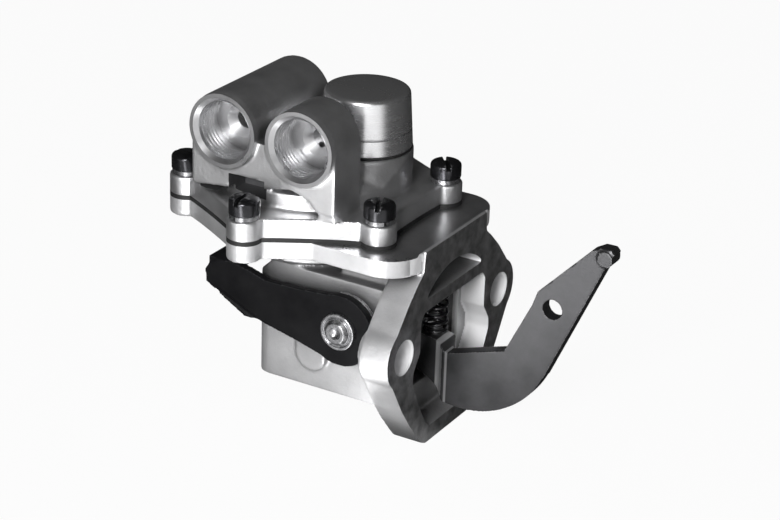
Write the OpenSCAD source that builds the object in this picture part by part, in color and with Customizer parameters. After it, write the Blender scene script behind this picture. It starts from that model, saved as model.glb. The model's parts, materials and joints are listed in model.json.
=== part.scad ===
// Lever-type diaphragm fuel pump with two threaded ports and a two-bolt engine flange.
// X points out of the flange face to the engine, Z up along the diaphragm axis.
// The ports look to -Y. The origin is midway between the two flange bolts, on the flange face.

/* [Placing] */
// Pump axis to flange face
flange_reach = 44; // [44:0.5:46]
// Diaphragm plane down to the flange bolt line
bolt_drop = 27; // [27:0.5:28]

/* [Rims and screws] */
// Screw circle radius
screw_circle_r = 35; // [34.8:0.1:35.4]
// Screw boss radius
boss_r = 4.7; // [4.5:0.1:5]
// Rim edge distance midway between two screws
rim_waist_r = 31.2; // [30.8:0.1:31.6]
// Cover rim thickness
cover_rim_t = 5.2; // [4.8:0.1:5.4]
// Body rim thickness
body_rim_t = 5; // [4.5:0.1:5.5]
// Diaphragm thickness
diaphragm_t = 1.3; // [1.1:0.1:1.5]
// Screw shank radius
screw_r = 2.5; // [2.3:0.1:2.5]
// Screw head radius
head_r = 4.25; // [4:0.05:4.4]
// Screw head height below its raised top
head_h = 3.8; // [3.3:0.1:4]
// Raised top height of the screw head
head_crown = 0.9; // [0.5:0.1:1.2]
// Screw slot width
slot_w = 1.3; // [1:0.1:1.5]
// Screw slot depth
slot_d = 1.9; // [1.5:0.1:2.2]
// Spring washer thickness
washer_t = 1.3; // [1:0.1:1.5]

/* [Cover] */
// Cover drum radius
drum_r = 26; // [25.5:0.1:26.2]
// Height of the drum's shoulder
drum_h = 9.6; // [9:0.1:10]
// Height of the drum's roof
roof_h = 12.4; // [12:0.1:13]
// Half the distance between the ports
port_half = 11.8; // [11.5:0.1:12]
// Port axis height
port_z = 24.2; // [23.5:0.1:25]
// Port boss radius
port_boss_r = 10.4; // [10:0.1:10.8]
// Port face distance from the pump axis
port_face = 27; // [27:0.1:28]
// How far the port rings stand out of that face
port_ring = 1.3; // [1:0.1:1.4]
// Depth of the port block
block_d = 13; // [12:0.5:14]
// Length of the long outlet boss
outlet_len = 38; // [36:0.5:39]
// Port thread bore radius
port_r = 8; // [7.5:0.1:8.2]
// Port thread depth
port_depth = 10; // [9.5:0.5:10.5]
// Fuel passage radius
passage_r = 4; // [3:0.1:4.2]

/* [Filter cap] */
// Cap axis to the right of the pump axis
cap_x = 12.3; // [12:0.1:12.6]
// Cap axis behind the pump axis
cap_y = 5.1; // [5:0.1:5.6]
// Cap radius at its top
cap_top_r = 11.6; // [11:0.1:12]
// Cap radius at its foot
cap_foot_r = 12.6; // [12.3:0.1:12.8]
// Underside of the cap
cap_z = 16.3; // [16.2:0.1:16.6]
// Top of the cap
cap_top = 31.7; // [31:0.1:32.5]
// Cap gasket thickness
cap_gasket_t = 0.8; // [0.6:0.1:1]
// Cap wall thickness
cap_wall = 2; // [1.6:0.1:2.2]

/* [Valves] */
// Valve pocket radius
valve_r = 7; // [6.8:0.1:7.2]
// Valve hole radius
valve_hole_r = 3.2; // [2.8:0.1:3.4]
// Valve disc radius
disc_r = 4.6; // [4.4:0.1:4.8]
// Valve disc thickness
disc_t = 0.7; // [0.6:0.05:0.8]

/* [Body] */
// Bowl radius
bowl_r = 26; // [25.5:0.1:26.2]
// Bowl floor below the diaphragm plane
bowl_drop = 14; // [13.5:0.1:14.4]
// Housing half width
box_half = 18.5; // [18:0.1:18.6]
// Housing end to the left of the pump axis
box_left = 6.9; // [6.8:0.1:7.5]
// Housing floor below the rocker pin
floor_drop = 12.8; // [12.6:0.1:13.5]
// Housing wall thickness
box_wall = 3; // [2.8:0.1:3.2]
// Front rib end radius
rib_r = 4.8; // [4.5:0.1:5]

/* [Flange] */
// Flange thickness
flange_t = 9; // [9:0.1:9.5]
// Distance between the two flange bolts
flange_pitch = 52; // [51.5:0.1:52.5]
// Flange bolt hole radius
flange_hole_r = 4.5; // [4.2:0.1:4.5]
// Flange lobe radius
lobe_r = 8.6; // [8.4:0.1:9]
// Depth of the flange pocket and window
pocket_d = 7; // [6.5:0.1:7.2]

/* [Rocker] */
// Rocker pin to flange face
pin_back = 14; // [13.8:0.1:14.2]
// Rocker pin below the diaphragm plane
pin_drop = 35; // [34.8:0.1:35.2]
// Rocker pin radius
pin_r = 3; // [2.9:0.05:3.1]
// Running clearance of pins and shafts
run_gap = 0.05; // [0.02:0.01:0.09]
// Outer arm thickness
arm_t = 4; // [3.5:0.1:4.2]
// Outer arm front face in front of the pump axis
arm_front = 6; // [5.8:0.1:6.2]
// Arm window hole radius
arm_hole_r = 2.7; // [2.4:0.1:2.9]
// Link plate thickness
link_t = 2.4; // [2.2:0.1:2.5]
// Gap between arm toe and link, and link and rod head
toe_gap = 0.3; // [0.3:0.05:0.4]

/* [Diaphragm parts] */
// Diaphragm plate radius
plate_r = 20; // [19.5:0.1:20.5]
// Diaphragm plate thickness
plate_t = 1.2; // [1:0.1:1.4]
// Rod radius
rod_r = 2.5; // [2.4:0.1:2.6]
// Rod neck radius where the link holds it
neck_r = 1.9; // [1.8:0.1:2]
// Rod head radius
rod_head_r = 3.4; // [3.2:0.1:3.5]

/* [Priming lever] */
// Priming shaft behind the rocker pin
prime_back = 7.2; // [7:0.1:7.4]
// Priming shaft below the diaphragm plane
prime_drop = 25.8; // [25.6:0.1:26]
// Priming shaft radius
prime_r = 3.5; // [3.3:0.1:3.6]
// Lever plate thickness
lever_t = 2.4; // [2.2:0.1:2.5]
// Lever front face in front of the housing wall
lever_out = 5.5; // [5.4:0.1:5.8]
// Lever hub radius
lever_hub_r = 10.2; // [9.8:0.1:10.4]
// Lever washer radius
lever_washer_r = 5.2; // [5:0.1:5.4]

/* [Hidden] */
$fn = 48;
eps = 0.01;
screw_count = 6;
screw_step = 360 / screw_count;
body_top = -diaphragm_t;
body_rim_z = body_top - body_rim_t;
flange_back = flange_reach - flange_t;
pin_x = flange_reach - pin_back;
prime_x = pin_x - prime_back;
lever_front = box_half + lever_out;
plug_r = pin_r + 1;
lever_bore_r = 2.6;
box_floor = -pin_drop - floor_drop;
cavity_half = box_half - box_wall;
cavity_left = -box_left + box_wall - 0.2;
cavity_floor = box_floor + box_wall + 0.4;
cavity_roof = -bowl_drop - 2.5;
fit_gap = 0.02;
spigot_r = cap_foot_r - 1.6;
spigot_h = 2.8;
valve_top = 8.4;
seat_t = 1.4;
cage_bar_t = 0.8;
pocket_roof = 4.4;
inlet_floor = 9.4;
inlet_x = cap_x - 1.3;
outlet_x = -12;
link_z = -pin_drop - link_t / 2;
arm_mid = 0.5;
arm_half = 3.5;
cheek_t = 2;
cheek_in = arm_half + 0.5;
arm_spring_x = 38.5;
arm_spring_r = 3;
arm_spring_top = -18.6;
arm_spring_foot = -31.2;
bend_start = 41;
bend_end = 44.5;

// Moves from the pump's own axis and diaphragm plane to the flange bolt centre
module placed() {
  translate([-flange_reach, 0, bolt_drop]) children();
}

// A shape drawn in X and Z, given a width from y0 to y1
module side(y0, y1) {
  translate([0, y1, 0]) rotate([90, 0, 0]) linear_extrude(y1 - y0) children();
}

// A shape drawn in Y and Z, given a depth from x0 to x1
module front(x0, x1) {
  translate([x0, 0, 0]) rotate([90, 0, 90]) linear_extrude(x1 - x0) children();
}

// A round bar along Y
module y_bar(x, z, r, y0, y1) {
  translate([x, y0, z]) rotate([-90, 0, 0]) cylinder(r = r, h = y1 - y0);
}

// A round bar along Z
module z_bar(x, y, r, z0, z1) {
  translate([x, y, z0]) cylinder(r = r, h = z1 - z0);
}

module tube(r_out, r_in, h) {
  difference() {
    cylinder(r = r_out, h = h);
    translate([0, 0, -1]) cylinder(r = r_in, h = h + 2);
  }
}

// Puts its children on every cover screw axis
module at_screws() {
  for (i = [0 : screw_count - 1])
    rotate((i + 0.5) * screw_step) translate([screw_circle_r, 0, 0]) children();
}

// A closed coil: the wire's slanted cut, twisted upwards
module coil(r, wire, turns, height) {
  pitch = (height - wire) / turns;
  half = 180 * wire / pitch;
  points = 5;
  linear_extrude(height - wire, twist = -360 * turns, slices = ceil(turns * 15), convexity = 8, $fn = 4)
    polygon([for (s = [1, -1]) for (i = [0 : points])
      let (u = s * (1 - 2 * i / points), rr = r + s * wire / 2 * sqrt(max(0.04, 1 - u * u)))
        [rr * cos(half * u), rr * sin(half * u)]]);
}

// Rim outline: six bosses standing out of nearly straight edges
module rim_outline() {
  waist_cut_r = 220;
  corner_r = rim_waist_r / cos(screw_step / 2) + 1;
  difference() {
    polygon([for (i = [0 : screw_count - 1]) let (a = (i + 0.5) * screw_step) corner_r * [cos(a), sin(a)]]);
    for (i = [0 : screw_count - 1])
      rotate(i * screw_step) translate([rim_waist_r + waist_cut_r, 0]) circle(r = waist_cut_r, $fn = 360);
  }
  at_screws() circle(r = boss_r);
}

module screw_holes(r, z0, z1) {
  at_screws() translate([0, 0, z0]) cylinder(r = r, h = z1 - z0);
}

// Front outline of the port block, with the cast arch between its two feet
module block_outline() {
  outer = port_half + port_boss_r;
  foot_z = cover_rim_t + 2.4;
  for (s = [-1, 1]) translate([s * port_half, port_z]) circle(r = port_boss_r);
  polygon([[-outer, port_z], [-outer, 7], [-10, 8.4], [0, 10.2], [8.6, 12],
    [11.4, 11.2], [14.2, 10.2], [16.6, foot_z], [outer, foot_z], [outer, port_z],
    [port_half, port_z + 1], [0, port_z - 1.5], [-port_half, port_z + 1]]);
}

module top_cover() {
  relief_r = 5.2;
  relief_x = -4.9;
  relief_z = 8.2;
  relief_d = 6;
  neck_bore_r = passage_r + 2.4;
  ring_y = -port_face - port_ring;
  foot_web = 5;
  foot_mid = port_half + port_boss_r - 2.9;
  passage_z = 10.6;
  inlet_passage_r = 2.6;
  color("silver") placed() difference() {
    union() {
      linear_extrude(cover_rim_t) rim_outline();
      cylinder(r = drum_r, h = drum_h);
      translate([0, 0, drum_h - eps]) cylinder(r1 = drum_r, r2 = drum_r - 7, h = roof_h - drum_h);
      intersection() {
        translate([cap_x, cap_y, drum_h - 1]) cylinder(r1 = cap_foot_r + 6, r2 = cap_foot_r + 0.3, h = 6.5);
        cylinder(r = drum_r, h = 30);
      }
      z_bar(cap_x, cap_y, cap_foot_r + 0.3, drum_h, cap_z - cap_gasket_t);
      side(-port_face, -port_face + block_d) block_outline();
      for (s = [-1, 1]) y_bar(s * port_half, port_z, port_boss_r - 0.2, ring_y, -port_face + 1);
      y_bar(-port_half, port_z, port_boss_r, -port_face + 1, -port_face + outlet_len - 2);
      translate([-port_half, -port_face + outlet_len - 2 - eps, port_z]) rotate([-90, 0, 0])
        cylinder(r1 = port_boss_r, r2 = port_boss_r - 2, h = 2);
      translate([-port_half - 9, -port_face + 5, drum_h - 2]) cube([16, outlet_len - 10, port_z - drum_h]);
      // webs that carry the block's feet
      for (s = [-1, 1]) translate([s * foot_mid - foot_web / 2, -port_face + 3, cover_rim_t - eps])
        cube([foot_web, block_d - 2.5, 3]);
      // ridge over the inlet passage
      y_bar(port_half, passage_z, inlet_passage_r + 2, -port_face + block_d - 1, cap_y - 4);
    }
    // pump chamber
    translate([0, 0, -1]) cylinder(r = drum_r - 3, h = pocket_roof + 1 - 1.4);
    translate([0, 0, 2.9]) cylinder(r1 = drum_r - 3, r2 = drum_r - 6, h = pocket_roof - 2.9);
    // valve pockets
    z_bar(inlet_x, cap_y, valve_r + fit_gap, pocket_roof - 1, valve_top);
    z_bar(inlet_x, cap_y, valve_r - 1.5, pocket_roof - 1, inlet_floor + 1);
    z_bar(outlet_x, 0, valve_r + fit_gap, pocket_roof - 1, valve_top);
    z_bar(outlet_x, 0, valve_r - 1.5, pocket_roof - 1, 10.5);
    z_bar(outlet_x, 0, passage_r, pocket_roof, port_z);
    // filter chamber and cap seat
    z_bar(cap_x, cap_y, cap_foot_r - 3, inlet_floor, cap_z + 1);
    z_bar(cap_x, cap_y, spigot_r + fit_gap, cap_z - cap_gasket_t - spigot_h - 0.4, cap_z + 1);
    // ports with their mouth chamfers
    for (s = [-1, 1]) {
      y_bar(s * port_half, port_z, port_r, ring_y - 1, -port_face + port_depth);
      translate([s * port_half, ring_y - 0.1, port_z]) rotate([-90, 0, 0])
        cylinder(r1 = port_r + 0.9, r2 = port_r - 0.2, h = 1.1);
    }
    y_bar(-port_half, port_z, neck_bore_r, -port_face + port_depth - 1, -port_face + port_depth + 3);
    y_bar(-port_half, port_z, passage_r + 1, -port_face + port_depth, 5);
    y_bar(port_half, port_z, neck_bore_r, -port_face + port_depth - 1, -port_face + port_depth + 1.8);
    z_bar(port_half, -port_face + port_depth - 3.4, inlet_passage_r, passage_z, port_z);
    y_bar(port_half, passage_z, inlet_passage_r, -port_face + port_depth - 6, cap_y);
    // driver relief over the front screw
    intersection() {
      y_bar(relief_x, relief_z, relief_r, -port_face - 1, -port_face + relief_d);
      translate([relief_x - relief_r, -port_face - 2, relief_z - 1]) cube([2 * relief_r, relief_d + 2, 2 * relief_r]);
    }
    screw_holes(screw_r + 0.2, -1, cover_rim_t + 1);
  }
}

module cover_screw() {
  shank = cover_rim_t + diaphragm_t + body_rim_t - 0.6;
  difference() {
    union() {
      translate([0, 0, washer_t]) cylinder(r = head_r, h = head_h);
      translate([0, 0, washer_t + head_h - eps]) cylinder(r1 = head_r, r2 = head_r - 1.6, h = head_crown);
      translate([0, 0, -shank]) cylinder(r = screw_r, h = shank + washer_t + eps);
    }
    translate([-head_r - 1, -slot_w / 2, washer_t + head_h + head_crown - slot_d])
      cube([2 * head_r + 2, slot_w, slot_d + 1]);
  }
}

module cover_screws() {
  turn = 37;
  color("dimgray") placed() translate([0, 0, cover_rim_t]) at_screws() rotate(turn) cover_screw();
}

module spring_washers() {
  split = 0.7;
  color("gray") placed() translate([0, 0, cover_rim_t]) at_screws() difference() {
    tube(head_r - 0.2, screw_r + 0.1, washer_t);
    rotate(50) translate([0, -split / 2, -1]) cube([head_r + 1, split, washer_t + 2]);
  }
}

module diaphragm() {
  color("black") placed() translate([0, 0, -diaphragm_t]) difference() {
    linear_extrude(diaphragm_t) rim_outline();
    translate([0, 0, -1]) cylinder(r = rod_r + run_gap, h = diaphragm_t + 2);
    screw_holes(screw_r + 0.2, -1, diaphragm_t + 1);
  }
}

// Half of the mounting flange, seen from the engine, Y to the right and Z up
module flange_half() {
  hull_y = flange_pitch / 2;
  translate([hull_y, -bolt_drop]) circle(r = lobe_r);
  polygon([[-eps, body_top], [16.5, body_top], [17, -6.2], [19.5, -8.1], [24.5, -12.8], [30.2, -19.5],
    [34.3, -29], [26, -43], [22, -48.5], [18, -53.4], [15, -56.9], [12.6, -58], [-eps, -58]]);
}

// Half of the window the arm comes through
module window_half() {
  polygon([[-eps, -18], [15.6, -18], [17.4, -20], [17.5, -29], [20.6, -33.6], [20.9, -36.6],
    [17, -45], [13, -51.5], [10.8, -53.4], [-eps, -53.4]]);
}

module lower_body() {
  lug_r = 9.6;
  lug_y = 17.4;
  neck_half = 15.5;
  hood_r = 22;
  rib_x = prime_x - 11.4;
  rib_z = -pin_drop - 2.6;
  rib_h = 5.2;
  rib_out = 1.5;
  corner_r = 4;
  color("lightgray") placed() difference() {
    union() {
      // rim with its two shoulders towards the flange
      translate([0, 0, body_rim_z]) linear_extrude(body_rim_t) {
        rim_outline();
        for (s = [-1, 1]) translate([flange_reach - lug_r - 0.8, s * lug_y]) circle(r = lug_r);
        translate([0, -16.4]) square([flange_reach, 32.8]);
        translate([16, -lug_y - lug_r]) square([flange_reach - lug_r - 16.8, 2 * (lug_y + lug_r)]);
      }
      translate([0, 0, body_rim_z - 3.2]) cylinder(r = bowl_r, h = 3.3);
      translate([0, 0, -bowl_drop]) cylinder(r1 = 16.6, r2 = bowl_r, h = bowl_drop + body_rim_z - 3.1);
      // housing
      intersection() {
        side(-box_half, box_half) polygon([[-box_left, box_floor], [flange_back + 1, box_floor],
          [flange_back + 1, -bowl_drop + 0.5], [-box_left + 5, -bowl_drop + 0.5], [-box_left, -bowl_drop - 4]]);
        translate([0, 0, box_floor - 1]) linear_extrude(floor_drop + pin_drop) {
          translate([-box_left, corner_r - box_half]) square([flange_reach + box_left, 2 * (box_half - corner_r)]);
          translate([corner_r - box_left, -box_half]) square([flange_reach + box_left - corner_r, 2 * box_half]);
          for (s = [-1, 1]) translate([corner_r - box_left, s * (box_half - corner_r)]) circle(r = corner_r);
        }
      }
      translate([18, -neck_half, -bowl_drop - 2]) cube([flange_back - 17, 2 * neck_half, bowl_drop - 4]);
      // flange
      front(flange_back, flange_reach) {
        flange_half();
        mirror([1, 0]) flange_half();
      }
      // bosses on the front wall
      y_bar(prime_x, -prime_drop, 5.6, -box_half - 2.4, -box_half + 1);
      y_bar(rib_x, rib_z, rib_r, -box_half - rib_out, -box_half + 1);
      translate([rib_x - rib_r, -box_half - rib_out, rib_z]) cube([2 * rib_r, rib_out + 1, rib_h]);
    }
    // bowl
    z_bar(0, 0, bowl_r - 3, -9, body_top + 1);
    translate([0, 0, -12]) cylinder(r1 = 15.4, r2 = bowl_r - 3, h = 3.01);
    // housing cavity, open to the window
    side(-cavity_half, cavity_half) polygon([[cavity_left, cavity_floor], [flange_reach - pocket_d + 1, cavity_floor],
      [flange_reach - pocket_d + 1, cavity_roof - 1.5], [14, cavity_roof], [cavity_left, cavity_roof]]);
    front(flange_reach - pocket_d, flange_reach + 1) {
      window_half();
      mirror([1, 0]) window_half();
    }
    // pocket above the window
    front(flange_reach - pocket_d, flange_reach + 1) intersection() {
      translate([0, -8.2 - hood_r]) circle(r = hood_r, $fn = 96);
      translate([-15.3, -14.6]) square([30.6, 8]);
    }
    // rod guide with seal seat
    z_bar(0, 0, rod_r + 0.5, cavity_roof - 1, -11);
    z_bar(0, 0, 5, -14.4, -11);
    // vent hole in the neck
    y_bar(5, -10.4, 1.2, -bowl_r - 1, -17);
    // bolt holes
    for (s = [-1, 1]) translate([flange_back - 2, s * flange_pitch / 2, -bolt_drop]) rotate([0, 90, 0])
      cylinder(r = flange_hole_r, h = flange_t + 4);
    // pin, plug and shaft bores
    y_bar(pin_x, -pin_drop, pin_r + fit_gap, -box_half - 1, box_half + 1);
    for (s = [-1, 1]) translate([pin_x, s * (box_half - 0.7), -pin_drop]) rotate([s * -90, 0, 0])
      cylinder(r = plug_r + fit_gap, h = 3);
    y_bar(prime_x, -prime_drop, prime_r + run_gap, -box_half - 3, -cavity_half + 1);
    y_bar(prime_x, -prime_drop, prime_r + 1.3, -box_half - 3, -box_half - 0.2);
    y_bar(prime_x, -prime_drop, prime_r + run_gap, cavity_half - 1, cavity_half + 1.4);
    screw_holes(screw_r + fit_gap, body_rim_z - 4, body_top + 1);
  }
}

module filter_cap() {
  shoulder = 0.8;
  groove_z = cap_z + 4.4;
  color("gainsboro") placed() translate([cap_x, cap_y, 0]) difference() {
    union() {
      translate([0, 0, cap_z]) cylinder(r1 = cap_foot_r, r2 = cap_top_r, h = cap_top - cap_z - shoulder);
      translate([0, 0, cap_top - shoulder - eps]) cylinder(r1 = cap_top_r, r2 = cap_top_r - shoulder, h = shoulder);
      translate([0, 0, cap_z - cap_gasket_t - spigot_h]) cylinder(r = spigot_r, h = spigot_h + cap_gasket_t + 1);
    }
    translate([0, 0, cap_z - 6]) cylinder(r = spigot_r - cap_wall, h = cap_top - cap_z + 6 - cap_wall);
    translate([0, 0, groove_z]) difference() {
      cylinder(r = cap_foot_r + 1, h = 0.5);
      translate([0, 0, -1]) cylinder(r = cap_foot_r - 0.9, h = 3);
    }
  }
}

module cap_gasket() {
  color("black") placed() translate([cap_x, cap_y, cap_z - cap_gasket_t])
    tube(cap_foot_r, spigot_r + run_gap, cap_gasket_t);
}

module strainer() {
  basket_r = 8;
  wall = 0.6;
  windows = 8;
  top = 26;
  color("tan") placed() translate([cap_x, cap_y, 0]) difference() {
    translate([0, 0, inlet_floor]) union() {
      cylinder(r = basket_r, h = top - inlet_floor);
      cylinder(r = basket_r + 0.9, h = 1);
    }
    translate([0, 0, inlet_floor - 1]) cylinder(r = basket_r - wall, h = top - inlet_floor + 1 - wall);
    for (i = [0 : windows - 1]) for (z = [13.4, 19.6]) rotate(i * 360 / windows)
      translate([basket_r - 3, -1.9, z]) cube([6, 3.8, 4.8]);
  }
}

// A pressed seat ring with its centre hole
module valve_seat() {
  difference() {
    cylinder(r = valve_r, h = seat_t);
    translate([0, 0, -1]) cylinder(r = valve_hole_r, h = 4);
  }
}

// A cage ring with a cross bar that the spring stands on
module valve_cage() {
  leg = 1.6;
  cage_h = valve_top - pocket_roof - seat_t;
  tube(valve_r, valve_r - 1.4, cage_h);
  translate([0, 0, cage_h - cage_bar_t]) difference() {
    cylinder(r = valve_r - 0.6, h = cage_bar_t);
    for (i = [0 : 2]) rotate(i * 120 + 60) translate([leg, -leg, -1]) cube([3.4, 2 * leg, 3]);
  }
}

module at_inlet() {
  translate([inlet_x, cap_y, valve_top]) mirror([0, 0, 1]) children();
}

module at_outlet() {
  translate([outlet_x, 0, pocket_roof]) children();
}

module valve_seats() {
  color("goldenrod") placed() {
    at_inlet() valve_seat();
    at_outlet() valve_seat();
  }
}

module valve_cages() {
  color("goldenrod") placed() {
    at_inlet() translate([0, 0, seat_t]) valve_cage();
    at_outlet() translate([0, 0, seat_t]) valve_cage();
  }
}

module valve_disc() {
  translate([0, 0, seat_t]) cylinder(r = disc_r, h = disc_t);
}

module inlet_disc() {
  color("saddlebrown") placed() at_inlet() valve_disc();
}

module outlet_disc() {
  color("saddlebrown") placed() at_outlet() valve_disc();
}

module valve_spring() {
  foot = seat_t + disc_t;
  translate([0, 0, foot]) coil(1.6, 0.35, 2, valve_top - pocket_roof - cage_bar_t - foot);
}

module inlet_spring() {
  color("lightgray") placed() at_inlet() valve_spring();
}

module outlet_spring() {
  color("lightgray") placed() at_outlet() valve_spring();
}

module upper_plate() {
  color("gray") placed() difference() {
    union() {
      cylinder(r = plate_r, h = plate_t);
      translate([0, 0, plate_t - eps]) cylinder(r = 6, h = 0.3);
    }
    translate([0, 0, -1]) cylinder(r = rod_r + run_gap, h = 4);
  }
}

module lower_plate() {
  color("gray") placed() translate([0, 0, body_top - plate_t]) difference() {
    cylinder(r = plate_r - 1, h = plate_t);
    translate([0, 0, -1]) cylinder(r = rod_r + run_gap, h = 4);
  }
}

module diaphragm_rod() {
  head_top = link_z - toe_gap;
  color("gray") placed() {
    z_bar(0, 0, rod_r, -30, plate_t + 2.1);
    translate([0, 0, body_top - plate_t - 1]) cylinder(r = 4, h = 1);
    z_bar(0, 0, neck_r, head_top - eps, -30 + eps);
    z_bar(0, 0, rod_head_r, head_top - 2.2, head_top);
  }
}

module rod_nut() {
  across = 8;
  color("gray") placed() translate([0, 0, plate_t + 0.3]) difference() {
    cylinder(r = across / 2 / cos(30), h = 1.5, $fn = 6);
    translate([0, 0, -1]) cylinder(r = rod_r + fit_gap, h = 4);
  }
}

module diaphragm_spring() {
  coil_top = body_top - plate_t - 0.05;
  foot = -11.9;
  color("lightgray") placed() translate([0, 0, foot]) coil(11, 1.8, 3, coil_top - foot);
}

module rod_seal() {
  color("black") placed() translate([0, 0, -14.4]) tube(4.9, rod_r + 0.05, 1.6);
}

module seal_cup() {
  color("gray") placed() translate([0, 0, -12.8]) tube(5, rod_r + 0.6, 0.8);
}

// Side outline of the arm: the blade, the round back and the hub block
module arm_outline() {
  back_r = 26.7;
  polygon([[62.7, -27.9], [70, -12.6], [71.3, -8.6], [85.6, 6.4], [88.2, 7.9], [91.2, 8],
    [92.2, 6.8], [90.6, 4.2], [74.6, -32.6], [66, -34]]);
  intersection() {
    translate([50, -21.8]) circle(r = back_r, $fn = 96);
    polygon([[46, -33.2], [62.7, -27.9], [76.7, -28.5], [76.7, -50], [46, -50]]);
  }
  polygon([[pin_x - 4, -pin_drop + 5.1], [pin_x + 9, -31.4], [46.2, -33.2], [47, -48.4], [44.6, -48],
    [pin_x + 8.4, -43.6], [pin_x + 3, -pin_drop - 5.7], [pin_x - 3, -pin_drop - 5.7]]);
  translate([pin_x, -pin_drop]) circle(r = 6.4);
  // toe over the link
  toe_z = link_z + link_t + toe_gap;
  toe_top = -prime_drop - prime_r - 0.7;
  polygon([[9, toe_z], [13.6, toe_z], [pin_x, -pin_drop + 0.5],
    [pin_x - 2, -pin_drop + 5.2], [16, toe_top], [9.6, toe_top - 0.8]]);
}

// Plan outline of the arm: thick hub block, crank, thin blade
module arm_plan() {
  y_front = arm_mid - arm_half;
  y_back = arm_mid + arm_half;
  polygon([[5, y_front], [bend_start, y_front], [bend_start + 1, y_front - 0.5], [bend_end, -arm_front],
    [95, -arm_front], [95, -arm_front + arm_t], [bend_end + 1, -arm_front + arm_t], [bend_start + 2, y_back], [5, y_back]]);
}

module rocker_arm() {
  pad_r = 2.2;
  color("dimgray") placed() difference() {
    union() {
      intersection() {
        side(-10, 10) arm_outline();
        translate([0, 0, -60]) linear_extrude(80) arm_plan();
      }
      y_bar(89.7, 5.2, pad_r, -arm_front - 0.6, -arm_front + arm_t + 0.6);
      z_bar(arm_spring_x, arm_mid, arm_spring_r - 1, -33, arm_spring_foot + 2);
    }
    y_bar(pin_x, -pin_drop, pin_r + run_gap, -12, 12);
    y_bar(75.9, -12.5, arm_hole_r, -12, 12);
    // flat that the spring stands on
    difference() {
      translate([arm_spring_x - 4.6, -8, arm_spring_foot]) cube([9.2, 16, 6]);
      z_bar(arm_spring_x, arm_mid, arm_spring_r - 1, -40, 0);
    }
  }
}

module rocker_link() {
  slot_half = neck_r + 0.35;
  nose = 1.6;
  y0 = arm_mid - cheek_in - cheek_t;
  y1 = arm_mid + cheek_in + cheek_t;
  color("darkgray") placed() difference() {
    union() {
      translate([-nose, y0, link_z]) cube([nose + 15, y1 - y0, link_t]);
      for (y = [y0, y1 - cheek_t]) side(y, y + cheek_t) {
        translate([pin_x, -pin_drop]) circle(r = 5.4);
        polygon([[9, link_z], [9, link_z + link_t], [15, link_z + 4.2], [pin_x, -pin_drop + 5.3],
          [pin_x, -pin_drop - 5.3], [18, link_z]]);
      }
    }
    y_bar(pin_x, -pin_drop, pin_r + run_gap, -12, 12);
    translate([-nose - 1, -slot_half, link_z - 1]) cube([nose + 1, 2 * slot_half, link_t + 2]);
    z_bar(0, 0, slot_half, link_z - 1, link_z + link_t + 1);
  }
}

module rocker_pin() {
  color("gray") placed() y_bar(pin_x, -pin_drop, pin_r, -box_half + 0.7, box_half - 0.7);
}

module pin_plugs() {
  color("gray") placed() for (s = [-1, 1]) translate([pin_x, s * (box_half - 0.7), -pin_drop])
    rotate([s * -90, 0, 0]) cylinder(r = plug_r, h = 0.9);
}

module arm_spring() {
  color("lightgray") placed() translate([arm_spring_x, arm_mid, arm_spring_foot])
    coil(arm_spring_r, 0.9, 4, arm_spring_top + 0.3 - arm_spring_foot);
}

module priming_shaft() {
  rivet_r = 3.8;
  finger_r = 2.4;
  finger_x = prime_x - 4.4;
  finger_z = -prime_drop - 0.8;
  color("gray") placed() difference() {
    union() {
      y_bar(prime_x, -prime_drop, prime_r, -lever_front + lever_t, cavity_half + 1);
      y_bar(prime_x, -prime_drop, lever_bore_r, -lever_front - 1.4, -lever_front + lever_t + 1);
      translate([prime_x, -lever_front - 2.2, -prime_drop]) rotate([-90, 0, 0])
        cylinder(r1 = rivet_r - 1, r2 = rivet_r, h = 1);
      // two fingers that push the link's cheeks down
      y_bar(finger_x, finger_z, finger_r, arm_mid - cheek_in - cheek_t, arm_mid - cheek_in);
      y_bar(finger_x, finger_z, finger_r, arm_mid + cheek_in, arm_mid + cheek_in + cheek_t);
    }
    translate([prime_x, -lever_front - 2.4, -prime_drop]) rotate([-90, 0, 0]) cylinder(r1 = 1.6, r2 = 0.6, h = 1.3);
    // middle flat that clears the arm
    translate([prime_x - 6, arm_mid - arm_half - 0.5, -prime_drop - 6]) cube([12, 2 * arm_half + 1, 4.6]);
  }
}

module lever_outline() {
  translate([prime_x, -prime_drop]) {
    circle(r = lever_hub_r);
    polygon([[-42.8, 7.2], [-41.4, 9.4], [-38.8, 10.6], [-34.6, 11.4], [-28.8, 10.2], [-23.4, 8.6],
      [-13.2, 8.8], [-3.6, 9.6], [0, 0], [-5.2, -8.7], [-12.8, -6.6], [-21.6, -4.6],
      [-25.8, -3.8], [-30.1, -3.6], [-36.8, 0.2], [-42.4, 3.6]]);
  }
}

module priming_lever() {
  tab_len = 9;
  tab_x = prime_x - 41.8;
  tab_z = 9.4 - prime_drop;
  back = -lever_front + lever_t;
  color("black") placed() difference() {
    union() {
      side(-lever_front, back) lever_outline();
      translate([tab_x, -lever_front + 0.4, tab_z]) cube([10, tab_len, 1.7]);
      y_bar(tab_x + 9, tab_z + 0.85, 0.85, -lever_front + 0.4, -lever_front + 0.4 + tab_len);
    }
    y_bar(prime_x, -prime_drop, lever_bore_r + fit_gap, -lever_front - 1, back + 1);
    translate([tab_x + 2, -lever_front - 0.7, tab_z - 7.6]) rotate([0, 24, 0]) cube([22, 1.1, 1.2]);
  }
}

module lever_washer() {
  color("silver") placed() translate([prime_x, -lever_front - 1.2, -prime_drop]) rotate([-90, 0, 0])
    tube(lever_washer_r, lever_bore_r + fit_gap, 1.2);
}

module lever_spring() {
  wire = 1;
  coil_r = 7.4;
  color("silver") placed() translate([prime_x, -box_half - 0.3, -prime_drop]) rotate([90, 0, 0])
    coil(coil_r, wire, 1.5, 2.5);
}

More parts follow.
